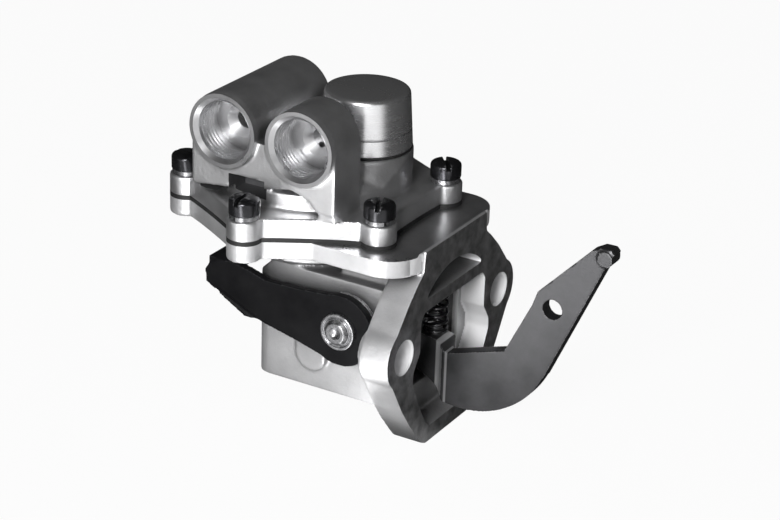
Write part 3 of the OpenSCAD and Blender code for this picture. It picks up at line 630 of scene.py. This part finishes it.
def washerItem(s):
    # split ring of square wire, one end a little higher
    steps, soft, inner, outer, thick = (s[k] for k in ("steps", "soft", "inner", "outer", "thick"))
    section = [(inner + soft, 0), (outer - soft, 0), (outer, soft), (outer, thick - soft),
               (outer - soft, thick), (inner + soft, thick), (inner, thick - soft), (inner, soft)]
    bm = bmesh.new()
    rings = []
    for i in range(steps + 1):
        t = math.radians(s["gap"] / 2 + (360 - s["gap"]) * i / steps)
        z = s["rise"] * (i / steps - 0.5) * max(0.0, abs(i / steps - 0.5) * 2 - 0.5)
        rings.append([bm.verts.new(Vector((r * math.cos(t), r * math.sin(t), h + z)) * mm) for r, h in section])
    bm.faces.new(rings[0])
    bm.faces.new(rings[-1][::-1])
    for a, b in zip(rings, rings[1:]):
        for i in range(len(section)):
            j = (i + 1) % len(section)
            bm.faces.new((a[i], a[j], b[j], b[i]))
    bmesh.ops.recalc_face_normals(bm, faces=bm.faces)
    return objectFrom("washerItem", bm)


def makeFasteners(s, w):
    tree, names = ringTree()
    for name, item, seed, material, slot, node in (
            ("coverScrewSet", screwItem(s), s["turnSeed"], darkSteel, "dark_steel", "cover_screws"),
            ("springWasherSet", washerItem(w), w["turnSeed"], washerSteel, "bright_steel", "spring_washers")):
        obj = madeByNodes(name, tree, names, {
            "Item": item, "Count": s["count"], "Circle Radius": s["circle"] * mm,
            "First Angle": math.radians(s["firstAngle"]), "Height": s["rimTop"] * mm, "Turn Seed": seed,
            "Finish": material})
        obj.data.transform(Matrix.Translation(pumpAxis))
        finishPiece(obj, "body", slot, node, smoothAngle=32)
        bpy.data.objects.remove(item)
    print("fasteners made")


makeFasteners(screw, springWasher)


coils = {  # squash: joint, height of the end that stays, share kept at the joint's limit
    # the arm coil takes the near-black painted-shade spring finish
    "armCoil": {
        "node": "arm_spring", "at": (38.5, 0.5, -31.2), "Radius": 3.0, "Wire": 0.9, "Height": 12.9, "Turns": 6.2,
        "Closed Turns": 1.0, "Start": 0.8, "finish": oiledSpring, "squash": ("arm_pivot", 0.0087, 0.868)},
    "diaphragmCoil": {
        "node": "diaphragm_spring", "at": (0, 0, -11.95), "Radius": 11.0, "Wire": 1.8, "Height": 9.4, "Turns": 3.4,
        "Closed Turns": 0.6, "Start": 0.3, "finish": springSteel, "squash": ("rod_slide", 0.0151, 0.55)},
    "inletCoil": {
        "node": "inlet_spring", "at": (11.0, 5.1, 5.2), "Radius": 1.6, "Wire": 0.3, "Height": 1.1, "Turns": 2.2,
        "Closed Turns": 0.3, "Start": 0.0, "finish": springSteel, "squash": ("inlet_valve_lift", 0.0322, 0.25)},
    "outletCoil": {
        "node": "outlet_spring", "at": (-12.0, 0.0, 6.5), "Radius": 1.6, "Wire": 0.3, "Height": 1.1, "Turns": 2.2,
        "Closed Turns": 0.3, "Start": 0.0, "finish": springSteel, "squash": ("outlet_valve_lift", 0.0346, 0.25)},
}


def makeCoils(settings):
    tree, names = coilTree()
    stepsPerTurn = 40
    for name, c in settings.items():
        obj = woundCoil(name, tree, names, c, Matrix.Translation(atPump(c["at"])), int(c["Turns"] * stepsPerTurn),
                        c["finish"])
        finishPiece(obj, "body", "spring_steel", c["node"], smoothAngle=60)
        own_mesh(obj)
    print("coils wound")


makeCoils(coils)


threads = {"pitch": 1.5, "Radius": 8.42, "Wire": 1.2, "from": -19.2, "to": -27.0, "Closed Turns": 0.0, "Start": 0.4}


def makeThreads(s, c):
    tree, names = coilTree()
    stepsPerTurn = 48
    length = s["from"] - s["to"]
    s.update({"Height": length, "Turns": length / s["pitch"]})
    for name, x in (("inletThread", c["portHalf"]), ("outletThread", -c["portHalf"])):
        place = Matrix.Translation(atPump((x, s["from"], c["portZ"]))) @ Matrix.Rotation(quarter, 4, "X")
        obj = woundCoil(name, tree, names, s, place, int(s["Turns"] * stepsPerTurn), machinedAluminium)
        finishPiece(obj, "body", "cast_aluminium", smoothAngle=60)
    print("port threads cut")


makeThreads(threads, cover)


cap = {
    "at": (12.3, 5.1), "foot": 12.6, "top": 11.6, "low": 16.3, "high": 31.7, "grooveZ": 20.7, "grooveHeight": 0.5,
    "grooveDepth": 0.55, "spigot": 11.0, "spigotLow": 12.7, "wall": 2.0, "crownEdge": 1.3, "crownFlat": 7.5,
}
gasket = {"low": 15.5, "high": 16.3, "seam": 15.9, "slack": 0.05, "inset": 0.1, "bulge": 0.3}


def makeCap(c):
    low, high, z, tall = (c[k] for k in ("low", "high", "grooveZ", "grooveHeight"))
    taper = (c["foot"] - c["top"]) / (high - low)

    def wallAt(height):
        return c["foot"] - (height - low) * taper

    inner = c["spigot"] - c["wall"]
    deep = wallAt(z) - c["grooveDepth"]
    outline = [(0, high - c["wall"]), (inner - 0.4, high - c["wall"], 1), (inner, c["spigotLow"]),
               (c["spigot"] - 0.2, c["spigotLow"]), (c["spigot"], c["spigotLow"] + 0.3), (c["spigot"], low),
               (c["foot"], low, 0.25), (wallAt(z), z, 0.15), (deep, z + 0.1, 0.05), (deep, z + tall - 0.1, 0.05),
               (wallAt(z + tall), z + tall, 0.15), (wallAt(high), high - 0.05, c["crownEdge"]),
               (c["crownFlat"], high, 0.3), (0, high)]
    bm = lathe(roundProfile(outline, 0.2, 5), 128)
    bmesh.ops.translate(bm, verts=bm.verts, vec=atPump((*c["at"], 0)))
    obj = objectFrom("capTurning", bm)
    obj.data.materials.append(turnedAluminium)
    finishPiece(obj, "body", "cap_aluminium", "filter_cap", smoothAngle=40)


def makeGasket(c, g):
    inner, outer = c["spigot"] + g["slack"], c["foot"] - g["inset"]
    outline = [(inner, g["seam"]), (inner, g["low"]), (outer, g["low"], g["bulge"]), (outer, g["high"], g["bulge"]),
               (inner, g["high"]), (inner, g["seam"] + 0.01)]
    bm = lathe(roundProfile(outline, 0.05, 4), 96)
    bmesh.ops.translate(bm, verts=bm.verts, vec=atPump((*c["at"], 0)))
    obj = objectFrom("capSeal", bm)
    obj.data.materials.append(blackRubber)
    finishPiece(obj, "body", "rubber", "cap_gasket", smoothAngle=40)


makeCap(cap)
makeGasket(cap, gasket)
print("cap turned")


arm = {"node": "rocker_arm", "grain": 0.3, "softness": 3, "stock": [],
       "filled": [  # pin across the tip
           (turnedSolid, "y", (89.7, 0, 5.2), [(-6.6, 1.9), (-6.3, 2.2), (-1.7, 2.2), (-1.4, 1.9)])]}
lever = {"node": "priming_lever", "grain": 0.3, "softness": 4, "stock": [], "filled": []}
shaft = {"node": "priming_shaft", "grain": 0.22, "softness": 2, "stock": [], "filled": [],
         "at": (22.8, 0, -25.8), "dimple": [(-27, 1.75), (-26.2, 1.75), (-25.9, 1.5), (-25.2, 0.7)]}
collar = {"outer": 5.2, "bore": 2.62, "back": 24, "front": 25.2, "rim": 0.8, "ledge": 1.2, "sunk": 0.3}
returnSpring = {"Radius": 9.0, "Wire": 1.1, "Height": 2.7, "Turns": 2.1, "Closed Turns": 0.0, "Start": 3.4,
                "steps": 140, "wall": -18.8}


def makeLever(a, v, s, w, r):
    finishPiece(castSkin("armForging", a, armSteel), "arm", "arm_steel", "rocker_arm", smoothAngle=45)
    finishPiece(castSkin("leverPlate", v, leverBlack), "lever", "lever_steel", "priming_lever", smoothAngle=45)
    obj = castSkin("leverShaft", s, washerSteel)
    cutAway(obj, "rivetDimple", washerSteel, (turnedSolid, "y", s["at"], s["dimple"]))
    finishPiece(obj, "lever", "bright_steel", "priming_shaft", smoothAngle=45)

    bore, outer, back, front = (w[k] for k in ("bore", "outer", "back", "front"))
    ring = roundProfile([
        (bore, back + 0.6), (bore, back), (outer, back, 0.2), (outer, front, 0.35), (outer - w["rim"], front, 0.1),
        (outer - w["rim"] - 0.2, front - w["sunk"], 0.1), (bore + w["ledge"] + 0.2, front - w["sunk"], 0.1),
        (bore + w["ledge"], front, 0.1), (bore, front), (bore, back + 0.61)], 0.15, 4)
    washer = objectFrom("leverCollar", lathe(ring, 96))
    washer.data.transform(Matrix.Translation(atPump(s["at"])) @ Matrix.Rotation(quarter, 4, "X"))
    washer.data.materials.append(washerSteel)
    finishPiece(washer, "lever", "bright_steel", "lever_washer", smoothAngle=40)

    tree, names = coilTree()
    place = Matrix.Translation(atPump((s["at"][0], r["wall"], s["at"][2]))) @ Matrix.Rotation(quarter, 4, "X")
    coil = woundCoil("leverReturnSpring", tree, names, r, place, r["steps"], springSteel)
    finishPiece(coil, "body", "spring_steel", "lever_spring", smoothAngle=60)
    print("levers made")


makeLever(arm, lever, shaft, collar, returnSpring)


studio = {
    "floorZ": -0.0313, "floorHalf": 3, "floorColour": (0.9, 0.9, 0.9, 1), "floorGlow": 0.95,
    "lamps": {  # azimuth, elevation, distance, size, power
        "keyLight": (14, 24, 0.9, 0.3, 7), "topLight": (10, 70, 0.9, 0.6, 0.1)},
    "ambient": 0.04,
    "front": (0.342, -0.9397, 0.0), "frontSpan": (0.48, 0.79),  # where the bright side of the studio is
    "streak": (0.0349, -0.9994, 0.0), "streakSpan": (0.991, 1.0), "streakStrength": 8.0,
    "topSpan": (0.1, 0.4), "belowSpan": (-0.85, -0.5), "dimSide": 0.02, "dimTop": 0.03, "dimBelow": 0.2,
}


def areaLight(name, azimuth, elevation, distance, size, power):
    a, e = math.radians(azimuth), math.radians(elevation)
    back = Vector((math.sin(a) * math.cos(e), -math.cos(a) * math.cos(e), math.sin(e)))
    lamp = bpy.data.lights.new(name, "AREA")
    lamp.shape = "DISK"
    lamp.size = size
    lamp.energy = power
    obj = linkObject(name, lamp)
    obj.location = Vector(cameraSetup["target"]) + back * distance
    obj.rotation_euler = (-back).to_track_quat("-Z", "Y").to_euler()


def vectorCalc(tree, operation, first, second=None):
    node = addNode(tree, "ShaderNodeVectorMath", [(0, first)], operation=operation)
    if second is not None:
        node.inputs[1].default_value = second
    return node.outputs["Value" if operation == "DOT_PRODUCT" else "Vector"]


def brightSide(tree, direction, s):
    # strength of the studio in a direction: bright in front, dim at the sides, behind, above and far below
    unit = vectorCalc(tree, "NORMALIZE", vectorCalc(tree, "MULTIPLY", direction, (1, 1, 0)))
    facing = vectorCalc(tree, "DOT_PRODUCT", unit, s["front"])
    side = mapRange(tree, facing, s["frontSpan"], (s["dimSide"], 1.0), "SMOOTHSTEP")
    narrow = vectorCalc(tree, "DOT_PRODUCT", unit, s["streak"])
    streak = mapRange(tree, narrow, s["streakSpan"], (0.0, s["streakStrength"]), "SMOOTHSTEP")
    whole = vectorCalc(tree, "NORMALIZE", direction)
    height = addNode(tree, "ShaderNodeSeparateXYZ", [(0, whole)]).outputs["Z"]
    above = mapRange(tree, height, s["topSpan"], (0.0, 1.0), "SMOOTHSTEP")
    mix = addNode(tree, "ShaderNodeMix", [("Factor", above)], data_type="FLOAT")
    tree.links.new(calc(tree, "ADD", side, streak), mix.inputs[2])
    mix.inputs[3].default_value = s["dimTop"]
    below = mapRange(tree, height, s["belowSpan"], (s["dimBelow"], 1.0), "SMOOTHSTEP")
    return calc(tree, "MULTIPLY", mix.outputs[0], below)


def seenStrength(tree, direction, s):
    # white for the camera and for glass, the studio's bright side for metal
    path = addNode(tree, "ShaderNodeLightPath").outputs
    clear = calc(tree, "MAXIMUM", path["Is Camera Ray"], path["Is Transmission Ray"])
    metal = calc(tree, "MULTIPLY", path["Is Glossy Ray"], brightSide(tree, direction, s))
    return calc(tree, "MAXIMUM", clear, metal), calc(tree, "MAXIMUM", clear, path["Is Glossy Ray"])


def makeWorld(s):
    world = bpy.data.worlds.new("studio")
    scene.world = world
    world.use_nodes = True
    tree = world.node_tree
    tree.nodes.clear()
    way = addNode(tree, "ShaderNodeTexCoord").outputs["Generated"]
    strength, share = seenStrength(tree, way, s)
    dim = addNode(tree, "ShaderNodeBackground", Color=(1, 1, 1, 1), Strength=s["ambient"])
    seen = addNode(tree, "ShaderNodeBackground", [("Strength", strength)], Color=(1, 1, 1, 1))
    mix = addNode(tree, "ShaderNodeMixShader", [(0, share), (1, dim.outputs[0]), (2, seen.outputs[0])])
    addNode(tree, "ShaderNodeOutputWorld", [("Surface", mix.outputs[0])])


def makeFloor(s):
    bm = bmesh.new()
    bmesh.ops.create_grid(bm, x_segments=1, y_segments=1, size=s["floorHalf"])
    floor = objectFrom("floor", bm)
    floor.data.transform(Matrix.Translation((0, 0, s["floorZ"])))
    material = bpy.data.materials.new("paleFloor")
    material.use_nodes = True
    tree = material.node_tree
    tree.nodes.clear()
    here = addNode(tree, "ShaderNodeTexCoord").outputs["Object"]
    strength, share = seenStrength(tree, vectorCalc(tree, "SUBTRACT", here, cameraSetup["target"]), s)
    cloth = addNode(tree, "ShaderNodeBsdfDiffuse", Color=s["floorColour"])
    glow = addNode(tree, "ShaderNodeEmission", [("Strength", strength)], Color=(1, 1, 1, 1))
    part = calc(tree, "MULTIPLY", share, s["floorGlow"])
    mix = addNode(tree, "ShaderNodeMixShader", [(0, part), (1, cloth.outputs[0]), (2, glow.outputs[0])])
    addNode(tree, "ShaderNodeOutputMaterial", [("Surface", mix.outputs[0])])
    floor.data.materials.append(material)


makeWorld(studio)
for lampName, lampSetup in studio["lamps"].items():
    areaLight(lampName, *lampSetup)
makeFloor(studio)
print("studio set")
